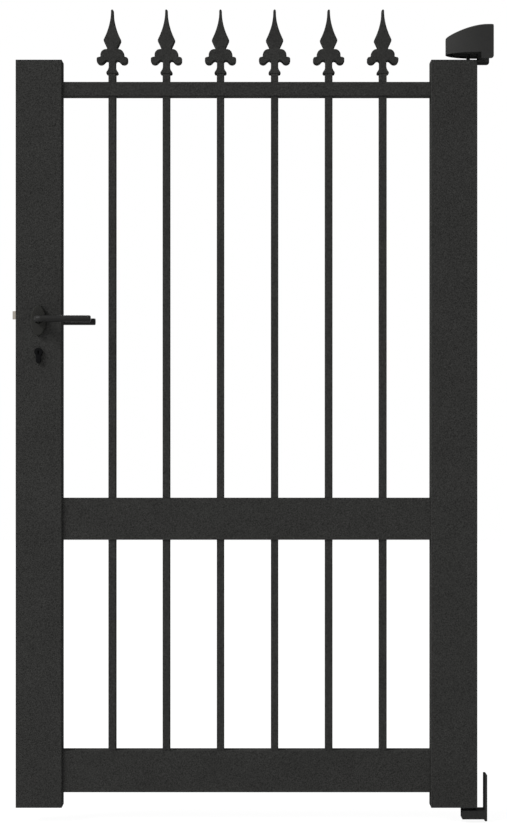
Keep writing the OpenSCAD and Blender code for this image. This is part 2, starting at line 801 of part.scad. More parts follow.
module lock_case() {
    w = case_wall;
    color("#8d9094") in_leaf() difference() {
        union() {
            difference() {
                translate([case_x, -case_in, case_z]) cube([case_w, case_t / 2 + case_in, case_h]);
                translate([case_x + w, -case_in - over, case_z + w])
                    cube([case_w - 2 * w, 2 * case_in + over, case_h - 2 * w]);
            }
            translate([spring_stop_x, -4, spring_z - 4]) cube([2, 4 + case_in + 0.1, 8]);
        }
        case_cuts();
        translate([case_x - over, -bolt_t / 2 - slip_clear, latch_z - slip_clear])
            cube([w + 2 * over, bolt_t + 2 * slip_clear, latch_h + 2 * slip_clear]);
        translate([case_x - over, -bolt_t / 2 - slip_clear, bolt_z - slip_clear])
            cube([w + 2 * over, bolt_t + 2 * slip_clear, bolt_h + 2 * slip_clear]);
        translate([-seat_clear, 0, barrel_z - cylinder_screw_drop])
            flush_screw(m5_r + seat_clear, case_x + w + over);
    }
}

module lock_case_lid() {
    color("#8d9094") in_leaf() difference() {
        translate([case_x, -case_t / 2, case_z]) cube([case_w, case_wall, case_h]);
        case_cuts();
    }
}

module faceplate() {
    color("#b4b7bb") in_leaf() difference() {
        translate([0, -faceplate_w / 2, faceplate_z]) cube([stile_wall, faceplate_w, faceplate_h]);
        translate([-over, -bolt_t / 2 - slip_clear, latch_z - slip_clear])
            cube([stile_wall + 2 * over, bolt_t + 2 * slip_clear, latch_h + 2 * slip_clear]);
        translate([-over, -bolt_t / 2 - slip_clear, bolt_z - slip_clear])
            cube([stile_wall + 2 * over, bolt_t + 2 * slip_clear, bolt_h + 2 * slip_clear]);
        for (z = face_screw_zs())
            translate([-seat_clear, 0, z]) flush_screw(m4_r + seat_clear, stile_wall + over);
        translate([-seat_clear, 0, barrel_z - cylinder_screw_drop])
            flush_screw(m5_r + seat_clear, stile_wall + over);
    }
}

function face_screw_zs() = [faceplate_z + face_screw_inset, faceplate_z + faceplate_h - face_screw_inset];

// Plates inside the stile that carry the faceplate's ends
module faceplate_backings() {
    color("#8d9094") in_leaf() for (z = face_screw_zs()) difference() {
        translate([stile_wall, -backing_w / 2, z - backing_h / 2]) cube([backing_t, backing_w, backing_h]);
        translate([-seat_clear, 0, z]) flush_screw(m4_r + seat_clear, stile_wall + backing_t + over);
    }
}

module faceplate_screws() {
    color("#b4b7bb") in_leaf() {
        for (z = face_screw_zs()) translate([0, 0, z]) flush_screw(m4_r, stile_wall + backing_t + thread_out);
        translate([0, 0, barrel_z - cylinder_screw_drop]) flush_screw(m5_r, backset + 2);
    }
}

// The latch: a head bevelled on the street side and a tail hooked over the follower's arm
module latch_bolt() {
    hook_x = backset + arm_tip_r + 0.4;
    color("#c4c7cb") in_leaf() {
        translate([0, 0, latch_z]) linear_extrude(latch_h) polygon([
            [latch_back_x, -bolt_t / 2], [1, -bolt_t / 2], [-latch_throw, bolt_t / 2 - 2],
            [-latch_throw, bolt_t / 2], [latch_back_x, bolt_t / 2]]);
        translate([latch_back_x - 0.1, -arm_t / 2, tail_z]) cube([hook_x + hook_t - latch_back_x, arm_t, tail_h]);
        translate([hook_x, -arm_t / 2, handle_z + hub_r + 0.6])
            cube([hook_t, arm_t, tail_z + tail_h - handle_z - hub_r - 0.6]);
    }
}

module latch_spring() {
    turns = 7;
    start = latch_back_x + 0.8;
    end = spring_stop_x - 0.8;
    color("#c9ccd0") in_leaf() wire([for (i = [0:12 * turns])
        [start + (end - start) * i / (12 * turns), 3 * cos(30 * i), spring_z + 3 * sin(30 * i)]], 0.5, 6);
}

module dead_bolt() {
    color("#c4c7cb") in_leaf() difference() {
        translate([0.3, -bolt_t / 2, bolt_z]) cube([44, bolt_t, bolt_h]);
        translate([20, -bolt_t, bolt_z + 6]) cube([16, 2 * bolt_t, bolt_h - 12]);
    }
}

module follower() {
    color("#9a9da1") in_leaf() translate([backset, 0, handle_z]) difference() {
        union() {
            rod_y(hub_r, 2 * case_in - 0.4);
            rod_y(journal_r, case_t);
            translate([0, 0, arm_r]) rod_y(arm_tip_r, arm_t);
            translate([-arm_tip_r, -arm_t / 2, 0]) cube([2 * arm_tip_r, arm_t, arm_r]);
        }
        cube([spindle_w + 2 * seat_clear, case_t + 2, spindle_w + 2 * seat_clear], center = true);
    }
}

// A torsion spring round the follower's hub, with one leg along the hub and one on the case's end
module follower_spring() {
    r = hub_r + 1.2;
    y0 = arm_t / 2 + 0.9;
    turn_n = 26;
    color("#c9ccd0") in_leaf() wire(concat(
        [[backset + r, y0, handle_z - 20]],
        [for (i = [0:turn_n]) [backset + r * cos(20 * i), y0 + 2.2 * i / turn_n, handle_z + r * sin(20 * i)]],
        [[backset - r * 2.2, y0 + 2.2, handle_z + r * sin(20 * turn_n) - 6]]), 0.6, 6);
}

module spindle() {
    len = stile_d + 2 * lever_offset - 20;
    color("#b9bcc0") in_leaf() translate([backset, 0, handle_z])
        cube([spindle_w, len, spindle_w], center = true);
}

// The lever's grip along +X, with a rounded edge at its free end
module grip() {
    r = grip_d / 2;
    rotate([0, 90, 0]) rotate_extrude() polygon(concat(
        [[0, 0], [r, 0]],
        arc([r - grip_edge_r, lever_reach - grip_edge_r], grip_edge_r, 0, 90, 5),
        [[0, lever_reach]]));
}

// A lever drawn on the street side, with its spindle axis on the origin
module lever() {
    grip_y = -face_y - lever_offset;
    neck_len = lever_offset - 0.3;
    difference() {
        union() {
            translate([0, grip_y, 0]) rotate([-90, 0, 0]) cylinder(r = neck_d / 2, h = neck_len);
            translate([0, grip_y, 0]) sphere(r = neck_d / 2);
            translate([0, grip_y, 0]) grip();
        }
        translate([0, grip_y + 10 + lever_offset / 2, 0])
            cube([spindle_w + 2 * seat_clear, lever_offset + 0.2, spindle_w + 2 * seat_clear], center = true);
        translate([0, -face_y - rose_t - 5, -neck_d]) cylinder(r = m5_r + seat_clear, h = neck_d);
    }
}

module front_lever() {
    color("#202225") in_leaf() translate([backset, 0, handle_z]) lever();
}

module rear_lever() {
    color("#202225") in_leaf() translate([backset, 0, handle_z]) mirror([0, 1, 0]) lever();
}

module lever_grub_screws() {
    len = neck_d / 2 - spindle_w / 2 - 0.6;
    color("#8d9094") in_leaf() for (s = [-1, 1])
        translate([backset, s * (face_y + rose_t + 5), handle_z - spindle_w / 2 - len - 0.1])
            cylinder(r = m5_r, h = len);
}

// An oval rose standing out from the stile's face at Y = 0 towards -Y
module rose() {
    difference() {
        rotate([90, 0, 0]) linear_extrude(rose_t)
            polygon([for (t = [0:7.5:352.5]) [rose_w / 2 * cos(t), rose_h / 2 * sin(t)]]);
        translate([0, 0, handle_z - rose_z]) rod_y(neck_d / 2 + turn_clear, 4 * rose_t);
    }
}

// The front rose has blind threaded holes for the screws that come through from the back
module front_rose() {
    color("#26282c") in_leaf() difference() {
        translate([backset, -face_y, rose_z]) rose();
        for (s = [-1, 1])
            translate([backset, -face_y - rose_t + 2, rose_z + s * rose_screw_pitch / 2])
                rotate([-90, 0, 0]) cylinder(r = m4_r + seat_clear, h = rose_t);
    }
}

module rear_rose() {
    color("#26282c") in_leaf() difference() {
        translate([backset, face_y, rose_z]) mirror([0, 1, 0]) rose();
        for (s = [-1, 1])
            translate([backset, face_y + rose_t + seat_clear, rose_z + s * rose_screw_pitch / 2])
                rotate([0, 0, -90]) flush_screw(m4_r + seat_clear, rose_t + over);
    }
}

module rose_screws() {
    color("#8d9094") in_leaf() for (s = [-1, 1])
        translate([backset, face_y + rose_t, rose_z + s * rose_screw_pitch / 2])
            rotate([0, 0, -90]) flush_screw(m4_r, stile_d + 2 * rose_t - 3);
}

module cylinder_body() {
    color("#17181a") in_leaf() translate([backset, 0, barrel_z]) difference() {
        slab_y(cylinder_len) cylinder_profile();
        rod_y(plug_r + turn_clear, cylinder_len + 2 * over);
        rod_y(cam_r + slip_clear, cam_t + 2 * slip_clear);
        translate([-profile_r, 0, -cylinder_screw_drop])
            rod_x(m5_r + seat_clear, profile_r + 3);
    }
}

// A plug drawn on the street side, with its keyway and the slot that the cam keys into
module plug() {
    len = (cylinder_len - cam_t) / 2 - slip_clear;
    translate([0, -cylinder_len / 2, 0]) difference() {
        rotate([-90, 0, 0]) cylinder(r = plug_r, h = len);
        translate([-1.2, -over, -5]) cube([2.4, len * 0.8 + over, 8]);
    }
}

module front_plug() {
    color("#1d1e21") in_leaf() translate([backset, 0, barrel_z]) plug();
}

module rear_plug() {
    color("#1d1e21") in_leaf() translate([backset, 0, barrel_z]) mirror([0, 1, 0]) plug();
}

// The cam and the short shaft that joins the two plugs
module cylinder_cam() {
    reach = cam_r - 4.5;
    color("#9a9da1") in_leaf() translate([backset, 0, barrel_z]) {
        rod_y(plug_r, cam_t + 2 * slip_clear);
        translate([0, 0, -reach]) rod_y(4.5, cam_t - 0.4);
        translate([-4.5, -cam_t / 2 + 0.2, -reach]) cube([9, cam_t - 0.4, reach]);
    }
}

latch_stile();
hinge_stile();
top_rail();
mid_rail();
bottom_rail();
bar(1);  // bar_1
bar(2);  // bar_2
bar(3);  // bar_3
bar(4);  // bar_4
bar(5);  // bar_5
bar(6);  // bar_6
spear(1);  // spear_1
spear(2);  // spear_2
spear(3);  // spear_3
spear(4);  // spear_4
spear(5);  // spear_5
spear(6);  // spear_6
latch_stile_top_cap();
hinge_stile_top_cap();
latch_stile_foot_cap();
hinge_stile_foot_cap();
top_rail_connectors();
wide_rail_connectors();
connector_screws();
rail_screws();
bar_screws();
upper_pivot_block();
lower_pivot_block();
pivot_block_screws();
upper_bush();
lower_bush();
lower_bracket();
lower_pin();
upper_bracket();
hinge_arm();
upper_pin();
clamp_bolt();
clamp_nut();
hinge_cover();
lock_case();
lock_case_lid();
faceplate();
faceplate_backings();
faceplate_screws();
latch_bolt();
latch_spring();
dead_bolt();
follower();
follower_spring();
spindle();
front_lever();
rear_lever();
lever_grub_screws();
front_rose();
rear_rose();
rose_screws();
cylinder_body();
front_plug();
rear_plug();
cylinder_cam();
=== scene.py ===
"""Garden gate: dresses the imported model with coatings, castings, handles and hinges."""
import math

import bmesh
import bpy
from mathutils import Matrix, Vector


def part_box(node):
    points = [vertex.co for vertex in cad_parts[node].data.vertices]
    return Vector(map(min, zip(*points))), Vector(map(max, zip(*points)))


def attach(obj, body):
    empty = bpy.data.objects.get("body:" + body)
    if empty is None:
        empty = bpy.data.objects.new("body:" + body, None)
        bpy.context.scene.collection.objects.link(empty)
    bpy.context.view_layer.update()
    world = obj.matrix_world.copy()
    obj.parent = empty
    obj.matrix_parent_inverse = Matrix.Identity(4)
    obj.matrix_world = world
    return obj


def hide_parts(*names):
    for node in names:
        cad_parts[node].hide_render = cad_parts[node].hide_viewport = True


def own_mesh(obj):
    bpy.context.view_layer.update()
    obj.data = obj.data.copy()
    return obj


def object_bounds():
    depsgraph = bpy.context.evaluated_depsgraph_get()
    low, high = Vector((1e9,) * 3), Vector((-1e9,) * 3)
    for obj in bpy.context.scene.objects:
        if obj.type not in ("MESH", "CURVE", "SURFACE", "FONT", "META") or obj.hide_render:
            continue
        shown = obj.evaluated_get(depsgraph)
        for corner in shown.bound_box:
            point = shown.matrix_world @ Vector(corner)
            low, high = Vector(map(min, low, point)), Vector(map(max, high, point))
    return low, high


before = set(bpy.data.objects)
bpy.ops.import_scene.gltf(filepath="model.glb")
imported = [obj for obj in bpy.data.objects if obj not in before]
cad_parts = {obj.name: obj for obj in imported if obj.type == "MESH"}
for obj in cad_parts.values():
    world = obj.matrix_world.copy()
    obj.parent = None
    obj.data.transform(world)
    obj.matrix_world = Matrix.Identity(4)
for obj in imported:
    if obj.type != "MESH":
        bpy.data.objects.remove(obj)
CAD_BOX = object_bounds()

bl_info = {
    "name": "Garden gate",
    "version": (1, 0, 0),
    "blender": (4, 5, 0),
    "location": "3D View > Sidebar > Gate",
    "description": "Builds the visible pieces and finishes of a barred garden gate",
    "category": "Object",
}

MM = 0.001
SPEARS = 6
FLOOR_HALF_W = 8     # metres
FLOOR_GAP = 4        # millimetres from the lowest bracket down to the floor
FLOOR_VEIL = 0.86    # how much of the seen floor is glow rather than lit surface

# Screws, in millimetres
PAN_HEAD_H = 2.4
PAN_SHANK_R = 2.1
SUNK_HEAD = 1.8      # a countersunk head's width over its shank's
THREAD_PITCH = 1.2


# ---------------------------------------------------------------- settings

def length_mm(name, description, default, low, high):
    return bpy.props.FloatProperty(
        name=name, description=description + ", in millimetres", default=default, min=low, max=high)


def share(name, description, default):
    return bpy.props.FloatProperty(
        name=name, description=description, default=default, min=0, max=1, subtype="FACTOR")


def colour(name, description, default):
    return bpy.props.FloatVectorProperty(
        name=name, description=description, subtype="COLOR", size=3, min=0, max=1, default=default)


def srgb(code):
    """The linear colour of an sRGB hex value"""
    levels = [int(code[i:i + 2], 16) / 255 for i in (1, 3, 5)]
    return tuple(v / 12.92 if v <= 0.04045 else ((v + 0.055) / 1.055) ** 2.4 for v in levels)


class GATE_PG_stage(bpy.types.PropertyGroup):
    lens: bpy.props.FloatProperty(
        name="Lens", description="Focal length of the camera", default=70.3, min=20, max=200,
        unit="CAMERA")
    distance: bpy.props.FloatProperty(
        name="Distance", description="From the camera to the face of the stiles", default=3.53,
        min=1, max=20, unit="LENGTH")
    camera_x: bpy.props.FloatProperty(
        name="Camera sideways", description="From the latch stile's outer edge to the camera",
        default=0.5152, min=-5, max=5, unit="LENGTH")
    camera_z: bpy.props.FloatProperty(
        name="Camera height", description="From the low end of the latch stile's tube to the camera",
        default=0.8432, min=0, max=5, unit="LENGTH")
    key_strength: bpy.props.FloatProperty(
        name="Key light", description="Light from the upper left on a surface that faces it",
        default=1.45, min=0, max=10)
    fill_strength: bpy.props.FloatProperty(
        name="Fill", description="Even light from all round", default=0.48, min=0, max=2)
    rear_strength: bpy.props.FloatProperty(
        name="Rear light", description="Light from behind, which lifts the rear faces",
        default=0.6, min=0, max=10)


class GATE_PG_coat(bpy.types.PropertyGroup):
    tone: colour("Coat", "Colour of the powder coat", srgb("#2d2d2c"))
    grit: length_mm("Grit", "Size of the coat's grains", 2.2, 0.2, 5)
    roughness: share("Roughness", "How matt the coat is", 0.88)


class GATE_PG_spear(bpy.types.PropertyGroup):
    blade_half_w: length_mm("Blade", "Half of the blade's greatest width", 19, 16, 24)
    tip_half_w: length_mm("Tip", "Half of the blunt tip's width", 3, 1.5, 3)
    collar_half_w: length_mm("Collar", "Half of the collar's width", 13.3, 12, 16)
    neck_half_w: length_mm("Neck", "Half of the neck's width", 8, 6, 9)
    scroll_out: length_mm("Scrolls", "From the middle to a scroll's round end", 25, 24, 28)
    edge_r: length_mm("Edges", "Radius of the casting's edges", 1.6, 0.5, 3)
    draft: length_mm("Draft", "How far the casting's sides lean in", 0.5, 0, 2)


class GATE_PG_cover(bpy.types.PropertyGroup):
    wall: length_mm("Wall", "Thickness of the moulded cover", 2.5, 1, 3)
    straight: length_mm("Straight", "Length of the straight sides at the wall", 27, 10, 40)
    level: length_mm("Level", "Length of the crown's level part", 14, 5, 30)
    drop: length_mm("Drop", "How far the crown falls to the nose", 24.2, 10, 40)
    skirt: length_mm("Skirt", "How far the sides at the wall reach below the nose", 13.8, 0, 20)
    fall: bpy.props.FloatProperty(
        name="Fall", description="Power of the curve by which the crown falls", default=1.65,
        min=1, max=3)
    foot_r: length_mm("Foot corners", "Radius of the sides' lower corners at the wall", 6, 1, 8)
    wall_edge_r: length_mm("Wall edge", "Radius of the crown's edge at the wall", 2.5, 0.5, 4)
    edge_r: length_mm("Edges", "Radius round the crown", 3, 1, 12)
    camber: length_mm("Camber", "How far the crown's sides lie below its middle", 0.4, 0, 4)


class GATE_PG_handle(bpy.types.PropertyGroup):
    grip_d: length_mm("Grip", "Diameter of the grip", 15, 12, 20)
    neck_d: length_mm("Neck", "Diameter of the neck", 16, 12, 20)
    bend_r: length_mm("Bend", "Radius of the bend's centre line", 11, 9, 16)
    end_r: length_mm("End", "Radius of the grip's end edge", 2.4, 0.5, 6)
    rose_edge_r: length_mm("Rose edge", "Radius of the rose's front edge", 2.2, 0.5, 4)


class GATE_PG_lock(bpy.types.PropertyGroup):
    spring_wire_d: length_mm("Spring wire", "Diameter of the latch spring's wire", 1, 0.5, 1.5)
    spring_turns: bpy.props.IntProperty(
        name="Turns", description="Turns of the latch spring", default=7, min=4, max=8)


# ---------------------------------------------------------------- nodes and materials

def add_node(tree, kind, settings=None, inputs=None):
    """Adds a shader node; an input's value is a plain value or another node's output"""
    made = tree.nodes.new(kind)
    for name, value in (settings or {}).items():
        setattr(made, name, value)
    for name, value in (inputs or {}).items():
        if isinstance(value, bpy.types.NodeSocket):
            tree.links.new(value, made.inputs[name])
        else:
            made.inputs[name].default_value = value
    return made


def per_metre(size_mm):
    """The scale of a noise whose cells are size_mm wide"""
    return 1 / (size_mm * MM)


def rgba(tone):
    return (*tone[:3], 1)


def shaded(tone, factor):
    return tuple(v * factor for v in tone)


def blank_material(name):
    material = bpy.data.materials.new(name)
    material.use_nodes = True
    material.node_tree.nodes.clear()
    return material, material.node_tree


def textured(name, tones, cell_mm, bump_mm, rough, rough_spread=0.06, cloud=0.05, softness=0.18,
             **sockets):
    """A surface with fine texture: tones are the colours of its hollows and crests, cell_mm is the size
    of its cells along X, Y and Z, softness is how gradually a hollow turns into a crest, and cloud is
    how far its colour drifts over a hand's breadth"""
    material, tree = blank_material(name)
    place = add_node(tree, "ShaderNodeTexCoord").outputs["Object"]
    # Turned, so that no flat face lies along the noise's own grid, where it fades
    cells = add_node(tree, "ShaderNodeMapping", {"vector_type": "POINT"}, {
        "Vector": place, "Scale": [per_metre(size) for size in cell_mm], "Rotation": (0.5, 0.7, 0.3)})
    grain = add_node(tree, "ShaderNodeTexNoise", None, {
        "Vector": cells.outputs["Vector"], "Scale": 1, "Detail": 3, "Roughness": 0.6})
    drift = add_node(tree, "ShaderNodeTexNoise", None, {
        "Vector": place, "Scale": per_metre(90), "Detail": 3, "Roughness": 0.5})
    ramp = add_node(tree, "ShaderNodeMapRange", None, {
        "Value": grain.outputs["Fac"], "From Min": 0.5 - softness, "From Max": 0.5 + softness})
    speckle = add_node(tree, "ShaderNodeMix", {"data_type": "RGBA"}, {"Factor": ramp.outputs["Result"]})
    # The mix node's inputs 6 and 7 and its output 2 are those that hold colours
    speckle.inputs[6].default_value = rgba(tones[0])
    speckle.inputs[7].default_value = rgba(tones[1])
    level = add_node(tree, "ShaderNodeMapRange", None, {
        "Value": drift.outputs["Fac"], "From Min": 0.3, "From Max": 0.7,
        "To Min": 1 - cloud, "To Max": 1 + cloud})
    shade = add_node(tree, "ShaderNodeHueSaturation", None, {
        "Value": level.outputs["Result"], "Color": speckle.outputs[2]})
    gloss = add_node(tree, "ShaderNodeMapRange", None, {
        "Value": grain.outputs["Fac"], "From Min": 0.3, "From Max": 0.7,
        "To Min": max(rough - rough_spread, 0), "To Max": min(rough + rough_spread, 1)})
    bump = add_node(tree, "ShaderNodeBump", None, {
        "Height": grain.outputs["Fac"], "Strength": 0.35, "Distance": bump_mm * MM})
    surface = add_node(tree, "ShaderNodeBsdfPrincipled", None, {
        "Base Color": shade.outputs["Color"], "Roughness": gloss.outputs["Result"],
        "Normal": bump.outputs["Normal"], **sockets})
    add_node(tree, "ShaderNodeOutputMaterial", None, {"Surface": surface.outputs["BSDF"]})
    return material


def dielectric(ior, specular):
    return {"IOR": ior, "Specular IOR Level": specular}


METAL = {"Metallic": 1.0}


def make_finishes(coat):
    """Every finish of the gate, by the name of what it is"""
    grit = (coat.grit,) * 3
    deep, crest = shaded(coat.tone, 0.42), shaded(coat.tone, 1.42)
    return {
        # Fine-structure powder coat: dead matt, with a close grain of soft lumps, drawn at four
        # times the real half millimetre so that it still shows from a few metres
        "powder_coated_aluminium": textured(
            "powder_coated_aluminium", (deep, crest), grit, 0.35, coat.roughness,
            **dielectric(1.5, 0)),
        # The same coat over a sand casting, whose skin shows through as wider waves
        "powder_coated_casting": textured(
            "powder_coated_casting", (deep, crest), (1.7,) * 3, 0.6, coat.roughness,
            cloud=0.08, **dielectric(1.5, 0)),
        # The same coat over flat steel, a little smoother
        "powder_coated_steel": textured(
            "powder_coated_steel", (deep, shaded(coat.tone, 1.2)), (1.1,) * 3, 0.25, 0.82,
            **dielectric(1.5, 0)),
        # Spark-eroded polyamide: even fine grain and a faint sheen
        "moulded_polyamide": textured(
            "moulded_polyamide", (srgb("#242525"), srgb("#2f302f")), (0.9,) * 3, 0.1, 0.72,
            **dielectric(1.53, 0.03)),
        # Spark-eroded ABS in the coat's grey, smoother than the caps
        "moulded_abs": textured(
            "moulded_abs", (srgb("#242424"), srgb("#2e2e2d")), (0.9,) * 3, 0.08, 0.7,
            **dielectric(1.54, 0.02)),
        # Baked satin black lacquer: smooth, with soft broad highlights
        "satin_black_lacquer": textured(
            "satin_black_lacquer", (srgb("#191919"), srgb("#222221")), (1.4,) * 3, 0.03, 0.46,
            **dielectric(1.5, 0.07)),
        # Black polyamide of the roses, fine and matt
        "black_polyamide": textured(
            "black_polyamide", (srgb("#1f1f1e"), srgb("#2a2a28")), (0.9,) * 3, 0.07, 0.62,
            **dielectric(1.53, 0.03)),
        # Blackened brass of the key cylinder, nearly black, and made darker than the other black parts
        # by painted shade, so that it looks like a hole in shadow
        "blackened_brass_painted_hole_shade": textured(
            "blackened_brass_painted_hole_shade", (srgb("#0a0a0b"), srgb("#101011")), (0.4, 3, 0.4), 0.02, 0.5,
            **dielectric(1.5, 0.02)),
        # Oiled black oxide on turned steel: nearly black, with a soft sheen along its fine rings
        "black_oxide_steel": textured(
            "black_oxide_steel", (srgb("#141414"), srgb("#1e1e1d")), (60, 60, 0.4), 0.02, 0.5,
            **dielectric(1.5, 0.06)),
        # Strip steel brushed along its length, so that highlights smear across it
        "brushed_stainless": textured(
            "brushed_stainless", (srgb("#7f7f7d"), srgb("#9c9c99")), (0.25, 0.25, 30), 0.02, 0.4,
            softness=0.25, **METAL),
        # Turned stainless bar: fine rings round the axis
        "turned_stainless": textured(
            "turned_stainless", (srgb("#7d7d7b"), srgb("#9a9a99")), (60, 60, 0.35), 0.03, 0.34,
            softness=0.25, **METAL),
        # Satin nickel plating: pale, warm and almost without grain
        "satin_nickel": textured(
            "satin_nickel", (srgb("#8d8880"), srgb("#a09b92")), (6, 0.3, 0.3), 0.01, 0.38, **METAL),
        # Bright zinc plating: cool grey with cloudy patches
        "zinc_plating": textured(
            "zinc_plating", (srgb("#868b91"), srgb("#a0a4a8")), (3.5,) * 3, 0.01, 0.38,
            cloud=0.1, **METAL),
        # Zinc-plated sheet of the lock case, duller where it was rolled
        "zinc_sheet": textured(
            "zinc_sheet", (srgb("#8e9399"), srgb("#a6aaae")), (7, 7, 2), 0.02, 0.44,
            cloud=0.12, **METAL),
        # Drawn spring wire, grey and slick
        "spring_wire": textured(
            "spring_wire", (srgb("#7d8084"), srgb("#a0a3a7")), (0.8,) * 3, 0.01, 0.3, **METAL),
        # Raw pressure-cast aluminium with a dull mottled skin
        "cast_aluminium": textured(
            "cast_aluminium", (srgb("#8b8d8f"), srgb("#a9abac")), (2.2,) * 3, 0.3, 0.56,
            cloud=0.1, **METAL),
        # Natural nylon of the bushes: milky, waxy and slightly see-through at its edges
        "natural_nylon": textured(
            "natural_nylon", (srgb("#d3cfc0"), srgb("#dedacd")), (5,) * 3, 0.02, 0.42,
            **{"Subsurface Weight": 0.25, "Subsurface Scale": 0.002}, **dielectric(1.53, 0.4)),
        # Screw heads lacquered to match the coat, a touch glossier
        "lacquered_screw": textured(
            "lacquered_screw", (srgb("#202121"), srgb("#2b2b2b")), (0.7,) * 3, 0.04, 0.55,
            **dielectric(1.5, 0.15)),
    }


FINISHES = {}


# ---------------------------------------------------------------- outlines, in millimetres

def arc(x, y, radius, start, end, count, squash=1):
    """Points on an arc round (x, y) from angle start to angle end; squash makes it lower than wide"""
    turns = [math.radians(start + (end - start) * i / count) for i in range(count + 1)]
    return [(x + radius * math.cos(t), y + radius * squash * math.sin(t)) for t in turns]


def ring(radius, count=48, lobes=0, wave=0):
    """A closed round outline, made wavy where lobes are asked for"""
    turns = [2 * math.pi * i / count for i in range(count)]
    return [((radius + wave * math.cos(lobes * t)) * math.cos(t),
             (radius + wave * math.cos(lobes * t)) * math.sin(t)) for t in turns]


def quarter_round(radius, distance):
    """How far an edge rounded by the radius lies below the flat, at a distance from the edge"""
    inside = max(radius - distance, 0)
    return radius - math.sqrt(radius ** 2 - inside ** 2)


def mirrored(points):
    """The points of a right half, followed by those of the left half, back to the start"""
    return points + [(-x, y) for x, y in reversed(points)]


def without_doubles(outline):
    """The closed outline without points that lie on their neighbours"""
    return [p for p, q in zip(outline, outline[1:] + outline[:1]) if math.dist(p, q) > 0.01]


def shrunk(outline, inset):
    """The closed outline, drawn anticlockwise, with each point moved inwards square to its neighbours"""
    moved = []
    count = len(outline)
    for i, (x, y) in enumerate(outline):
        before = Vector(outline[i - 1])
        after = Vector(outline[(i + 1) % count])
        here = Vector((x, y))
        first = (here - before).normalized()
        second = (after - here).normalized()
        normal = Vector((-first.y - second.y, first.x + second.x))
        normal = normal / max(normal.length_squared / 2, 0.5)
        moved.append((x + inset * normal.x, y + inset * normal.y))
    return moved


def spear_outline(s, height):
    """The spearhead seen from the front, up from the top of its bar: collar, flared neck, scrolls,
    lobes and blade"""
    bead_r = 3.2
    bead = (s.collar_half_w - bead_r, 3.4)
    neck = s.neck_half_w
    flare_z, neck_z = 5, 16.5
    flare = [(neck + (s.collar_half_w - 0.4 - neck) * (1 - t) ** 2, flare_z + (neck_z - flare_z) * t)
             for t in [i / 14 for i in range(15)]]
    arch_r = 3.8
    arch = (neck + arch_r, 25.6)
    scroll_r, scroll_squash = 9.2, 0.9
    scroll = (s.scroll_out, 30.1)
    corner_r = 4
    corner = (s.scroll_out + scroll_r - corner_r, 33.2)
    notch = (s.scroll_out + 1, 38.3)
    lobe_r = 12.9
    lobe = (s.scroll_out - 11.8, 41.8)
    waist_r = 1.6
    waist = (13, 56.5)
    shoulder_r = 4
    shoulder = (s.blade_half_w - shoulder_r, 74)
    low, top = shoulder[1] + 1.8, height - s.tip_half_w
    reach = s.blade_half_w - 0.4 - s.tip_half_w
    flank = [(s.tip_half_w + reach * (1 - t) ** 2, low + (top - low) * t)
             for t in [i / 28 for i in range(1, 29)]]
    half = (
        [(s.collar_half_w - 4.5, 0)]
        + arc(*bead, bead_r, -75, 25, 14)
        + flare
        + arc(*arch, arch_r, 180, 50, 18)
        + arc(*scroll, scroll_r, 215, 360, 34, scroll_squash)
        + arc(*corner, corner_r, 0, 80, 10)
        + [notch]
        + arc(*lobe, lobe_r, -12, 96, 30)
        + arc(*waist, waist_r, 220, 140, 4)
        + arc(*shoulder, shoulder_r, -27, 26, 8)
        + flank
        + arc(0, top, s.tip_half_w, 15, 90, 8))
    return without_doubles(mirrored(half))


# ---------------------------------------------------------------- solids from outlines

def skin(bm, rings, closed=True):
    """Joins rings of as many points each with faces; returns the rings' vertices"""
    rows = [[bm.verts.new(p) for p in points] for points in rings]
    count = len(rows[0])
    for low, high in zip(rows, rows[1:]):
        for i in range(count if closed else count - 1):
            j = (i + 1) % count
            bm.faces.new((low[i], low[j], high[j], high[i]))
    return rows


def edge_profile(thickness, edge_r, draft=0, steps=5, rear=True):
    """(inset, height) pairs of a plate's edge from its back to its rounded front"""
    turns = [math.pi / 2 * i / steps for i in range(steps + 1)]
    front = [(draft + edge_r * (1 - math.cos(t)), thickness - edge_r * (1 - math.sin(t)))
             for t in turns]
    if rear:
        back = [(inset, thickness - height) for inset, height in reversed(front)]
    else:
        back = [(draft, 0)]
    parting = [(0, thickness / 2)] if draft else []
    return back + parting + front


def add_plate(bm, outline, profile, holes=()):
    """A plate of the outline whose edge follows the profile, with round holes (x, y, radius)"""
    walls = [[[(x, y, z) for x, y in shrunk(outline, inset)] for inset, z in profile]]
    for x, y, radius in holes:
        walls.append([[(x + u, y + v, z) for u, v in ring(radius + min(inset, 0.6), 32)]
                      for inset, z in profile])
    rows = [skin(bm, rings) for rings in walls]
    for end in (0, -1):
        if holes:
            edges = [edge for wall in rows for i, vert in enumerate(wall[end])
                     for edge in vert.link_edges if edge.other_vert(vert) is wall[end][i - 1]]
            bmesh.ops.triangle_fill(bm, edges=edges, use_beauty=True, use_dissolve=False)
        else:
            bm.faces.new(rows[0][end])
    return rows


def add_turned(bm, profile, count=48):
    """A body turned round Z: the profile lists (radius, height) or (radius, height, wave) of a
    six-lobed ring; its ends close on the axis or stay flat"""
    rings = []
    for radius, height, *wave in profile:
        round_row = ring(max(radius, 0.001), count, 6, wave[0] if wave else 0)
        rings.append([(x, y, height) for x, y in round_row])
    rows = skin(bm, rings)
    bm.faces.new(rows[0])
    bm.faces.new(rows[-1])
    return rows


def add_box(bm, low, high, edge=0.5):
    """A block with chamfered edges along its height"""
    outline = [(low[0], low[1]), (high[0], low[1]), (high[0], high[1]), (low[0], high[1])]
    profile = [(edge, low[2]), (0, low[2] + edge), (0, high[2] - edge), (edge, high[2])]
    add_plate(bm, outline, profile)


# ---------------------------------------------------------------- placing

def placed(x=0, y=0, z=0, turn=None):
    """Takes millimetres to the frame: turned first, then moved to a place in metres"""
    return Matrix.Translation((x, y, z)) @ (turn or Matrix.Identity(4)) @ Matrix.Scale(MM, 4)


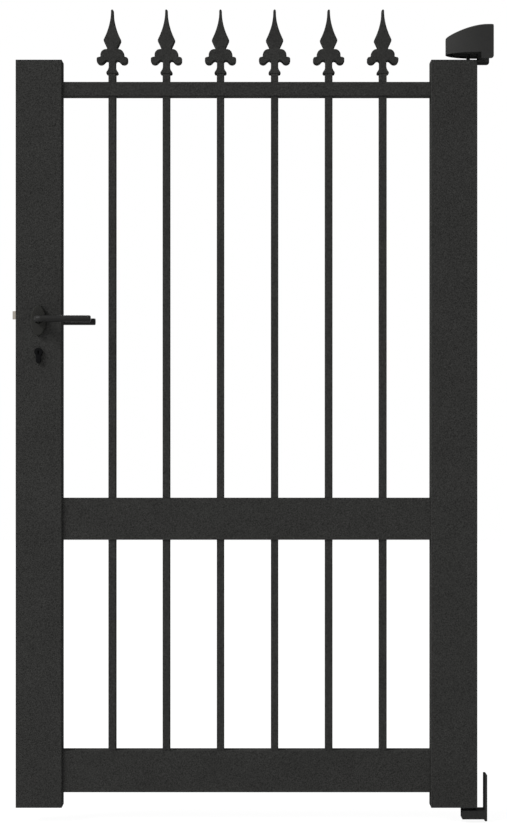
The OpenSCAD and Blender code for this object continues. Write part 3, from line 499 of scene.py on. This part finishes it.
def quarter(axis, degrees=90):
    return Matrix.Rotation(math.radians(degrees), 4, axis)


# A plate drawn in the plane, facing the street or the garden, or a head that points along X
FACING = {
    "street": quarter("X"),
    "garden": quarter("Z", 180) @ quarter("X"),
    "pillar": quarter("Y"),
    "latch_side": quarter("Y", -90),
}


def finish_piece(name, bm, finish, body, nodes=(), place=None, sharp=35):
    """Turns the mesh into a piece that rides on a body, and shows it instead of the CAD nodes named"""
    if place:
        bm.transform(place)
    bmesh.ops.remove_doubles(bm, verts=bm.verts, dist=0.005 * MM)
    bmesh.ops.recalc_face_normals(bm, faces=bm.faces)
    mesh = bpy.data.meshes.new(name)
    bm.to_mesh(mesh)
    bm.free()
    mesh.shade_smooth()
    mesh.set_sharp_from_angle(angle=math.radians(sharp))
    mesh.materials.append(FINISHES[finish])
    piece = bpy.data.objects.new(name, mesh)
    bpy.context.scene.collection.objects.link(piece)
    shading = piece.modifiers.new("shading", "WEIGHTED_NORMAL")
    shading.keep_sharp = True
    if nodes:
        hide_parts(*nodes)
    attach(piece, body)
    return piece


def weld(obj, name):
    """Merges points that lie on each other"""
    obj.modifiers.new(name, "WELD").merge_threshold = 0.002 * MM


def dress(finish, *names, rounding=0.4):
    """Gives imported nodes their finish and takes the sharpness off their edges, or with a rounding of 0
    leaves them as cut"""
    for name in names:
        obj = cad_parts[name]
        obj.data.materials.clear()
        obj.data.materials.append(FINISHES[finish])
        if not rounding:
            continue
        weld(obj, "weld")
        merge = obj.modifiers.new("flat_faces", "DECIMATE")
        merge.decimate_type = "DISSOLVE"
        merge.angle_limit = math.radians(0.5)
        bevel = obj.modifiers.new("edges", "BEVEL")
        bevel.width = rounding * MM
        bevel.segments = 2
        bevel.limit_method = "ANGLE"
        bevel.angle_limit = math.radians(40)
        weld(obj, "weld_edges")
        obj.modifiers.new("shading", "WEIGHTED_NORMAL")


def separate_solids(name):
    """(low, high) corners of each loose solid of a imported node, in metres"""
    bm = bmesh.new()
    bm.from_mesh(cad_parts[name].data)
    bm.transform(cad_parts[name].matrix_world)
    bmesh.ops.remove_doubles(bm, verts=bm.verts, dist=0.001 * MM)
    left = set(bm.verts)
    boxes = []
    while left:
        island = {left.pop()}
        to_visit = list(island)
        while to_visit:
            vert = to_visit.pop()
            for near in (e.other_vert(vert) for e in vert.link_edges):
                if near in left:
                    left.discard(near)
                    island.add(near)
                    to_visit.append(near)
        points = [v.co for v in island]
        boxes.append((Vector([min(p[i] for p in points) for i in range(3)]),
                      Vector([max(p[i] for p in points) for i in range(3)])))
    bm.free()
    return sorted(boxes, key=lambda pair: tuple(pair[0]))


def middle(low, high):
    return (low + high) / 2


def numbered(name):
    """The names of the nodes that there are as many of as spearheads"""
    return [f"{name}_{i}" for i in range(1, SPEARS + 1)]


# ---------------------------------------------------------------- screws

def six_lobe(radius, depth, top):
    """The recess of a screw head: from its rim at height top down to its floor"""
    wave = radius * 0.13
    return [(radius * 1.08, top, wave * 0.8), (radius, top - 0.15, wave),
            (radius * 0.94, top - depth, wave), (0, top - depth - radius * 0.25)]


def pan_head_screw(head_r, head_h, shank_r, length):
    """Height 0 is the underside of the head"""
    rim = 0.25
    dome = [(head_r * (1 - 0.46 * t ** 2.4), rim + (head_h - rim) * math.sin(math.pi / 2 * t))
            for t in [i / 8 for i in range(9)]]
    return (screw_thread(shank_r, 0, -length) + [(head_r - 0.2, 0), (head_r, 0.2)] + dome
            + six_lobe(head_r * 0.44, head_h * 0.6, head_h))


def flush_head_screw(shank_r, length):
    """Height 0 is the flat top of the countersunk head"""
    head_r = SUNK_HEAD * shank_r
    head_h = head_r - shank_r
    cone = [(shank_r * 1.02, -head_h), (head_r - 0.15, -0.2), (head_r, -0.12), (head_r - 0.15, 0)]
    return screw_thread(shank_r, -head_h, -length) + cone + six_lobe(head_r * 0.46, head_r * 0.4, 0)


def screw_thread(radius, top, bottom):
    """Ridges from the bottom up to the top, with a chamfered end"""
    root = radius * 0.84
    chamfer, neck = 0.6, 0.4
    length = top - bottom - (chamfer + neck)
    turns = max(int(length / THREAD_PITCH), 1)
    pitch = length / turns
    ridges = [(0, bottom), (radius * 0.7, bottom), (radius * 0.8, bottom + 0.4)]
    for i in range(turns):
        z = bottom + chamfer + i * pitch
        ridges += [(root, z), (radius, z + pitch / 2)]
    return ridges + [(root, top - neck)]


def add_screws(name, finish, facing, flush, body="leaf"):
    """Makes every screw of a node again with a turned head, its thread and its six-lobe recess"""
    bm = bmesh.new()
    for low, high in separate_solids(name):
        size = (high - low) / MM
        length = max(size)
        across = min(size)
        centre = middle(low, high)
        part = bmesh.new()
        if flush:
            profile = flush_head_screw(across / 2 / SUNK_HEAD, length)
        else:
            profile = pan_head_screw(across / 2, PAN_HEAD_H, PAN_SHANK_R, length - PAN_HEAD_H)
        add_turned(part, profile, 24)
        outer = {"garden": (centre.x, high.y, centre.z), "pillar": (high.x, centre.y, centre.z),
                 "latch_side": (low.x, centre.y, centre.z)}[facing]
        inwards = {"garden": (0, -1, 0), "pillar": (-1, 0, 0), "latch_side": (1, 0, 0)}[facing]
        seat = Vector(outer) + Vector(inwards) * (0 if flush else PAN_HEAD_H * MM)
        part.transform(placed(*seat, FACING[facing]))
        mesh = bpy.data.meshes.new("screw")
        part.to_mesh(mesh)
        part.free()
        bm.from_mesh(mesh)
        bpy.data.meshes.remove(mesh)
    return finish_piece(name + "_turned", bm, finish, body, (name,))


# ---------------------------------------------------------------- operators

class GATE_OT_stage(bpy.types.Operator):
    """Sets the camera, the lamps and the pale floor"""
    bl_idname = "gate.stage"
    bl_label = "Set the stage"

    def execute(self, context):
        s = context.scene.gate_stage
        scene = context.scene
        scene.view_settings.view_transform = "Standard"
        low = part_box("latch_stile")[0]
        lens = bpy.data.cameras.new("camera")
        lens.lens = s.lens
        lens.sensor_width = 36
        lens.clip_end = 100
        camera = bpy.data.objects.new("camera", lens)
        camera.location = (low.x + s.camera_x, low.y - s.distance, low.z + s.camera_z)
        camera.rotation_euler = (math.radians(90), 0, 0)
        scene.collection.objects.link(camera)
        scene.camera = camera
        self.light_world(s)
        self.lay_floor(scene)
        leaf = middle(low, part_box("hinge_stile")[1])
        target = Vector((leaf.x, 0, 0.85))
        self.hang_lamp("key_light", target, (-0.7, -0.36, 0.62), s.key_strength, distance=14, size=6)
        self.hang_lamp("rear_light", target, (0.05, 0.85, 0.5), s.rear_strength, distance=12, size=5)
        return {"FINISHED"}

    def hang_lamp(self, name, target, towards, strength, distance, size):
        """A square soft lamp that gives a surface facing it the light of a white sky times strength"""
        lamp = bpy.data.lights.new(name, "AREA")
        lamp.shape = "SQUARE"
        lamp.size = size
        lamp.energy = strength * math.pi * math.pi * distance ** 2
        obj = bpy.data.objects.new(name, lamp)
        towards = Vector(towards).normalized()
        obj.location = target + towards * distance
        obj.rotation_mode = "QUATERNION"
        obj.rotation_quaternion = towards.to_track_quat("Z", "Y")
        bpy.context.scene.collection.objects.link(obj)

    def seen(self, tree):
        """1 for rays that show the background itself or its reflection"""
        path = add_node(tree, "ShaderNodeLightPath")
        shown = path.outputs["Is Camera Ray"]
        for ray in ("Is Glossy Ray", "Is Transmission Ray"):
            shown = add_node(tree, "ShaderNodeMath", {"operation": "MAXIMUM"}, {
                0: shown, 1: path.outputs[ray]}).outputs[0]
        return shown

    def light_world(self, s):
        world = bpy.data.worlds.new("studio")
        bpy.context.scene.world = world
        world.use_nodes = True
        tree = world.node_tree
        tree.nodes.clear()
        fill = add_node(tree, "ShaderNodeBackground", None, {
            "Color": (1, 1, 1, 1), "Strength": s.fill_strength})
        white = add_node(tree, "ShaderNodeBackground", None, {"Color": (1, 1, 1, 1), "Strength": 1})
        both = add_node(tree, "ShaderNodeMixShader", None, {0: self.seen(tree)})
        tree.links.new(fill.outputs[0], both.inputs[1])
        tree.links.new(white.outputs[0], both.inputs[2])
        add_node(tree, "ShaderNodeOutputWorld", None, {"Surface": both.outputs[0]})

    def lay_floor(self, scene):
        bm = bmesh.new()
        bmesh.ops.create_grid(bm, x_segments=1, y_segments=1, size=FLOOR_HALF_W)
        mesh = bpy.data.meshes.new("floor")
        bm.to_mesh(mesh)
        bm.free()
        floor = bpy.data.objects.new("floor", mesh)
        floor.location = (0, 0, CAD_BOX[0].z - FLOOR_GAP * MM)
        scene.collection.objects.link(floor)
        material, tree = blank_material("pale_floor")
        # Seen directly, the floor is mostly a white glow, so that it meets the backdrop without an edge
        # and keeps only a faint shadow
        plain = add_node(tree, "ShaderNodeBsdfDiffuse", None, {"Color": (0.8, 0.8, 0.8, 1)})
        white = add_node(tree, "ShaderNodeEmission", None, {"Color": (1, 1, 1, 1), "Strength": 1.06})
        veil = add_node(tree, "ShaderNodeMath", {"operation": "MULTIPLY"}, {
            0: self.seen(tree), 1: FLOOR_VEIL})
        both = add_node(tree, "ShaderNodeMixShader", None, {0: veil.outputs[0]})
        tree.links.new(plain.outputs[0], both.inputs[1])
        tree.links.new(white.outputs[0], both.inputs[2])
        add_node(tree, "ShaderNodeOutputMaterial", None, {"Surface": both.outputs[0]})
        mesh.materials.append(material)


class GATE_OT_frame(bpy.types.Operator):
    """Coats the stiles, rails and bars and caps the stiles"""
    bl_idname = "gate.frame"
    bl_label = "Coat the frame"

    def execute(self, context):
        FINISHES.update(make_finishes(context.scene.gate_coat))
        dress("powder_coated_aluminium", "latch_stile", "hinge_stile",
              "top_rail", "mid_rail", "bottom_rail", *numbered("bar"))
        dress("moulded_polyamide", "latch_stile_top_cap", "hinge_stile_top_cap",
              "latch_stile_foot_cap", "hinge_stile_foot_cap", rounding=0.8)
        dress("cast_aluminium", "top_rail_connectors", "wide_rail_connectors",
              "upper_pivot_block", "lower_pivot_block")
        dress("zinc_plating", "connector_screws")
        dress("natural_nylon", "upper_bush", "lower_bush")
        return {"FINISHED"}


class GATE_OT_spears(bpy.types.Operator):
    """Casts the six spearheads with rounded edges and a parting line"""
    bl_idname = "gate.spears"
    bl_label = "Cast the spearheads"

    def execute(self, context):
        s = context.scene.gate_spear
        spigot_half_w, spigot_lift, overlap = 5.6, 1.8, 0.4
        for spear, bar in zip(numbered("spear"), numbered("bar")):
            low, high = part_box(spear)
            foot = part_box(bar)[1].z
            centre = middle(low, high)
            depth = (high.y - low.y) / MM
            bm = bmesh.new()
            outline = spear_outline(s, (high.z - foot) / MM)
            add_plate(bm, outline, edge_profile(depth, s.edge_r, s.draft))
            spigot_h = (foot - low.z) / MM
            add_box(bm, (-spigot_half_w, -spigot_h, spigot_lift),
                    (spigot_half_w, overlap, depth - spigot_lift), 0.8)
            finish_piece(spear + "_casting", bm, "powder_coated_casting", "leaf",
                         (spear,), placed(centre.x, high.y, foot, FACING["street"]))
        return {"FINISHED"}


class GATE_OT_screws(bpy.types.Operator):
    """Turns the screws that show on the garden side and on the leaf's edges"""
    bl_idname = "gate.screws"
    bl_label = "Turn the screws"

    def execute(self, context):
        add_screws("rail_screws", "lacquered_screw", "garden", False)
        add_screws("bar_screws", "lacquered_screw", "garden", False)
        add_screws("rose_screws", "zinc_plating", "garden", True)
        add_screws("pivot_block_screws", "zinc_plating", "pillar", True)
        add_screws("faceplate_screws", "brushed_stainless", "latch_side", True)
        return {"FINISHED"}


class GATE_OT_hinges(bpy.types.Operator):
    """Finishes the brackets, pins, bolt and nut of both hinges"""
    bl_idname = "gate.hinges"
    bl_label = "Finish the hinges"

    def execute(self, context):
        dress("powder_coated_steel", "lower_bracket", "upper_bracket", "hinge_arm", rounding=0.7)
        dress("powder_coated_steel", "clamp_nut", rounding=2.5)
        dress("black_oxide_steel", "lower_pin", "upper_pin", "clamp_bolt", rounding=0.6)
        return {"FINISHED"}


class GATE_OT_cover(bpy.types.Operator):
    """Moulds the thin cover over the upper hinge"""
    bl_idname = "gate.cover"
    bl_label = "Mould the hinge cover"

    def execute(self, context):
        c = context.scene.gate_cover
        low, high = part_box("hinge_cover")
        length = (high.x - low.x) / MM
        half_w = (high.y - low.y) / 2 / MM
        height = (high.z - low.z) / MM
        nose = length - c.straight
        # The outline from above: the wall is at X = 0 and the nose points to -X
        skirt_end = 0.96                    # how far along the straight sides the skirt reaches
        corner = [-c.foot_r * (1 - math.cos(math.radians(a))) for a in range(0, 90, 15)]
        side = [-c.straight * t for t in (0.25, 0.5, 0.75, skirt_end)]
        straight = [(x, half_w) for x in corner + side]
        round_nose = [(nose * math.cos(math.radians(a)) - c.straight, half_w * math.sin(math.radians(a)))
                      for a in range(90, 181, 3)]
        left = straight + round_nose
        outline = left + [(x, -y) for x, y in reversed(left[:-1])]
        run = length - c.level
        edge_steps = 7
        strips = 6

        def crown(x, y):
            """The height of the crown over a point of the outline or within it"""
            along = max(-x - c.level, 0) / run
            slope = c.drop * along ** c.fall + c.camber * (y / half_w) ** 2
            return height - slope - quarter_round(c.wall_edge_r, -x)

        def skirt_foot(x):
            """The height of the sides' lower edge, which is rounded where it meets the wall"""
            if -x > c.straight * skirt_end:
                return c.skirt
            return quarter_round(c.foot_r, -x)

        def column(i):
            """Points from the cover's foot up its side and round the edge of its crown"""
            x, y = outline[i]
            if i in (0, len(outline) - 1):
                inwards = Vector((0, -y / abs(y)))
            else:
                along = (Vector(outline[i + 1]) - Vector(outline[i - 1])).normalized()
                inwards = Vector((-along.y, along.x))
            foot = skirt_foot(x)
            spot = Vector((x, y))
            top = crown(x, y) - c.edge_r
            points = [(*spot, foot), (*spot, foot + (top - foot) / 2)]
            for step in range(edge_steps + 1):
                turn = math.radians(90 / edge_steps * step)
                moved = spot + inwards * c.edge_r * (1 - math.cos(turn))
                points.append((*moved, crown(*moved) - c.edge_r * (1 - math.sin(turn))))
            return points

        bm = bmesh.new()
        columns = [column(i) for i in range(len(outline))]
        rows = skin(bm, list(zip(*columns)), closed=False)
        rim = rows[-1]
        last = len(rim) - 1
        lines = []
        for i in range(last // 2):
            a, b = rim[i].co, rim[last - i].co
            across = [a.lerp(b, t / strips) for t in range(1, strips)]
            lines.append([rim[i]] + [bm.verts.new((p.x, p.y, crown(p.x, p.y))) for p in across]
                         + [rim[last - i]])
        for one, two in zip(lines, lines[1:]):
            for j in range(strips):
                bm.faces.new((one[j], one[j + 1], two[j + 1], two[j]))
        tip = rim[last // 2]
        for j in range(strips):
            bm.faces.new((lines[-1][j], lines[-1][j + 1], tip))
        bm.transform(placed(high.x, 0, low.z))
        bmesh.ops.recalc_face_normals(bm, faces=bm.faces)
        if sum(face.normal.z * face.calc_area() for face in bm.faces) < 0:
            bmesh.ops.reverse_faces(bm, faces=bm.faces)
        shell = bpy.data.meshes.new("shell")
        bm.to_mesh(shell)
        bm.free()
        piece = bpy.data.objects.new("hinge_cover_moulding", shell)
        bpy.context.scene.collection.objects.link(piece)
        shell.shade_smooth()
        shell.set_sharp_from_angle(angle=math.radians(40))
        shell.materials.append(FINISHES["moulded_abs"])
        thick = piece.modifiers.new("wall", "SOLIDIFY")
        thick.thickness = c.wall * MM
        thick.offset = -1
        thick.use_even_offset = True
        edge = piece.modifiers.new("rim", "BEVEL")
        edge.width = 0.4 * MM
        edge.segments = 2
        edge.limit_method = "ANGLE"
        edge.angle_limit = math.radians(50)
        piece.modifiers.new("shading", "WEIGHTED_NORMAL").keep_sharp = True
        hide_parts("hinge_cover")
        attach(piece, "pillar_brackets")
        return {"FINISHED"}


class GATE_OT_levers(bpy.types.Operator):
    """Bends the two round-bar levers and drills them for their grub screws"""
    bl_idname = "gate.levers"
    bl_label = "Bend the levers"

    def execute(self, context):
        h = context.scene.gate_handle
        low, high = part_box("spindle")
        spindle = middle(low, high)
        for name, side in (("front_lever", -1), ("rear_lever", 1)):
            low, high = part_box(name)
            root = high.y if side < 0 else low.y
            out = abs((low.y if side < 0 else high.y) - root) / MM - h.neck_d / 2
            reach = (high.x - spindle.x) / MM
            bm = bmesh.new()
            self.bend(bm, h, out, reach)
            place = placed(spindle.x, root, spindle.z)
            if side > 0:
                place = place @ Matrix.Diagonal((1, -1, 1, 1))
            piece = finish_piece(name + "_bent", bm, "satin_black_lacquer", "handle",
                                 (name,), place, sharp=45)
            self.drill(piece, side)
        dress("zinc_plating", "lever_grub_screws", rounding=0.2)
        dress("turned_stainless", "spindle", rounding=0.3)
        return {"FINISHED"}

    def bend(self, bm, h, out, reach):
        """A bar that leaves the rose towards -Y, turns to +X and ends with a rounded edge"""
        neck, grip = h.neck_d / 2, h.grip_d / 2
        bend_steps, end_steps = 14, 7
        stations = [((0, 0), 90, neck - 0.5), ((0, -0.5), 90, neck),
                    ((0, -(out - h.bend_r) / 2), 90, neck)]
        for i in range(bend_steps + 1):
            t = i / bend_steps
            turn = math.radians(90 * t)
            spot = (h.bend_r * (1 - math.cos(turn)), -(out - h.bend_r) - h.bend_r * math.sin(turn))
            stations.append((spot, 90 - 90 * t, neck + (grip - neck) * t))
        stations += [((x, -out), 0, grip) for x in (reach * 0.3, reach * 0.55, reach - h.end_r - 6)]
        for i in range(end_steps + 1):
            turn = math.radians(90 / end_steps * i)
            stations.append(((reach - h.end_r * (1 - math.sin(turn)), -out), 0,
                             grip - h.end_r * (1 - math.cos(turn))))
        rings = []
        for (x, y), heading, radius in stations:
            side = Vector((math.sin(math.radians(heading)), math.cos(math.radians(heading)), 0))
            rings.append([Vector((x, y, 0)) + side * u + Vector((0, 0, v)) for u, v in ring(radius, 48)])
        rows = skin(bm, rings)
        bm.faces.new(rows[0])
        bm.faces.new(rows[-1])

    def drill(self, piece, side):
        """Cuts the grub screw's hole up into the neck"""
        boxes = separate_solids("lever_grub_screws")
        low, high = min(boxes, key=lambda pair: side * -middle(*pair).y)
        centre = middle(low, high)
        depth, play = 12, 0.05
        bm = bmesh.new()
        add_turned(bm, [((high.x - low.x) / MM / 2 + play, z) for z in (-depth, 0)], 32)
        mesh = bpy.data.meshes.new("drill")
        bm.transform(placed(centre.x, centre.y, high.z))
        bmesh.ops.recalc_face_normals(bm, faces=bm.faces)
        bm.to_mesh(mesh)
        bm.free()
        cutter = bpy.data.objects.new("drill", mesh)
        bpy.context.scene.collection.objects.link(cutter)
        hole = piece.modifiers.new("hole", "BOOLEAN")
        hole.operation = "DIFFERENCE"
        hole.object = cutter
        hole.solver = "EXACT"
        piece.modifiers.move(len(piece.modifiers) - 1, 0)
        with bpy.context.temp_override(object=piece, active_object=piece):
            bpy.ops.object.modifier_apply(modifier="hole")
        bpy.data.objects.remove(cutter)


class GATE_OT_roses(bpy.types.Operator):
    """Moulds the two oval roses"""
    bl_idname = "gate.roses"
    bl_label = "Mould the roses"

    def execute(self, context):
        h = context.scene.gate_handle
        spindle = middle(*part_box("spindle"))
        screws = separate_solids("rose_screws")
        neck_play, screw_hole_r = 0.25, 3.9
        for name, facing in (("front_rose", "street"), ("rear_rose", "garden")):
            low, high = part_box(name)
            centre = middle(low, high)
            half_w, half_h = (high.x - low.x) / 2 / MM, (high.z - low.z) / 2 / MM
            outline = [(half_w * math.cos(math.radians(a)), half_h * math.sin(math.radians(a)))
                       for a in range(0, 360, 4)]
            holes = [(0, (spindle.z - centre.z) / MM, h.neck_d / 2 + neck_play)]
            if facing == "garden":
                holes += [(0, (middle(*pair).z - centre.z) / MM, screw_hole_r) for pair in screws]
            edge = edge_profile((high.y - low.y) / MM, h.rose_edge_r, 0.6, rear=False)
            bm = bmesh.new()
            add_plate(bm, outline, edge, holes)
            back = high.y if facing == "street" else low.y
            finish_piece(name + "_moulding", bm, "black_polyamide", "leaf", (name,),
                         placed(centre.x, back, centre.z, FACING[facing]))
        return {"FINISHED"}


class GATE_OT_lock(bpy.types.Operator):
    """Finishes the lock, its bolts and the key cylinder, and winds the latch's spring"""
    bl_idname = "gate.lock"
    bl_label = "Finish the lock"

    def execute(self, context):
        self.wind_spring(context.scene.gate_lock)
        dress("zinc_sheet", "lock_case", "lock_case_lid", rounding=0)
        dress("zinc_sheet", "faceplate_backings", "follower", "cylinder_cam", rounding=0.3)
        dress("brushed_stainless", "faceplate", rounding=0.3)
        dress("satin_nickel", "latch_bolt", "dead_bolt", rounding=0.6)
        dress("spring_wire", "follower_spring", rounding=0.1)
        # The key cylinder's near-black is partly its black finish and partly painted shade of a hole
        dress("blackened_brass_painted_hole_shade", "cylinder_body", "front_plug", "rear_plug", rounding=0.4)
        return {"FINISHED"}

    def wind_spring(self, lock):
        """A compression spring with closer turns at its ends, which the latch squeezes as it slides
        back; it is wound at its length at rest
        """
        low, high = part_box("latch_spring")
        centre = middle(low, high)
        wire_r = lock.spring_wire_d / 2
        coil_r = (high.z - low.z) / MM / 2 - wire_r
        rise = (high.x - low.x) / MM - 2 * wire_r
        closing = 0.6                       # 0 for even turns, towards 1 for closed ends
        steps = 24 * lock.spring_turns
        bm = bmesh.new()
        rings = []
        for i in range(steps + 1):
            t = i / steps
            turn = 2 * math.pi * lock.spring_turns * t
            out = Vector((0, math.cos(turn), math.sin(turn)))
            spot = out * coil_r
            spot.x = wire_r + rise * (t - closing * math.sin(2 * math.pi * t) / (2 * math.pi))
            rings.append([spot + out * u + Vector((v, 0, 0)) for u, v in ring(wire_r, 10)])
        rows = skin(bm, rings)
        bm.faces.new(rows[0])
        bm.faces.new(rows[-1])
        spring = finish_piece("latch_coil", bm, "spring_wire", "leaf", ("latch_spring",),
                              placed(low.x, centre.y, centre.z), sharp=50)
        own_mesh(spring)


GROUPS = {"gate_stage": GATE_PG_stage, "gate_coat": GATE_PG_coat, "gate_spear": GATE_PG_spear,
          "gate_cover": GATE_PG_cover, "gate_handle": GATE_PG_handle, "gate_lock": GATE_PG_lock}
STEPS = (GATE_OT_stage, GATE_OT_frame, GATE_OT_spears, GATE_OT_screws, GATE_OT_hinges, GATE_OT_cover,
         GATE_OT_levers, GATE_OT_roses, GATE_OT_lock)


class GATE_PT_panel(bpy.types.Panel):
    """Lists the steps that build the gate"""
    bl_idname = "GATE_PT_panel"
    bl_label = "Garden gate"
    bl_space_type = "VIEW_3D"
    bl_region_type = "UI"
    bl_category = "Gate"

    def draw(self, context):
        for step in STEPS:
            self.layout.operator(step.bl_idname)


CLASSES = (*GROUPS.values(), *STEPS, GATE_PT_panel)


def register():
    for cls in CLASSES:
        bpy.utils.register_class(cls)
    for name, group in GROUPS.items():
        setattr(bpy.types.Scene, name, bpy.props.PointerProperty(type=group))


def unregister():
    for name in GROUPS:
        delattr(bpy.types.Scene, name)
    for cls in reversed(CLASSES):
        bpy.utils.unregister_class(cls)


def main():
    register()
    for step in STEPS:
        family, action = step.bl_idname.split(".")
        getattr(getattr(bpy.ops, family), action)()


if __name__ == "__main__":
    main()
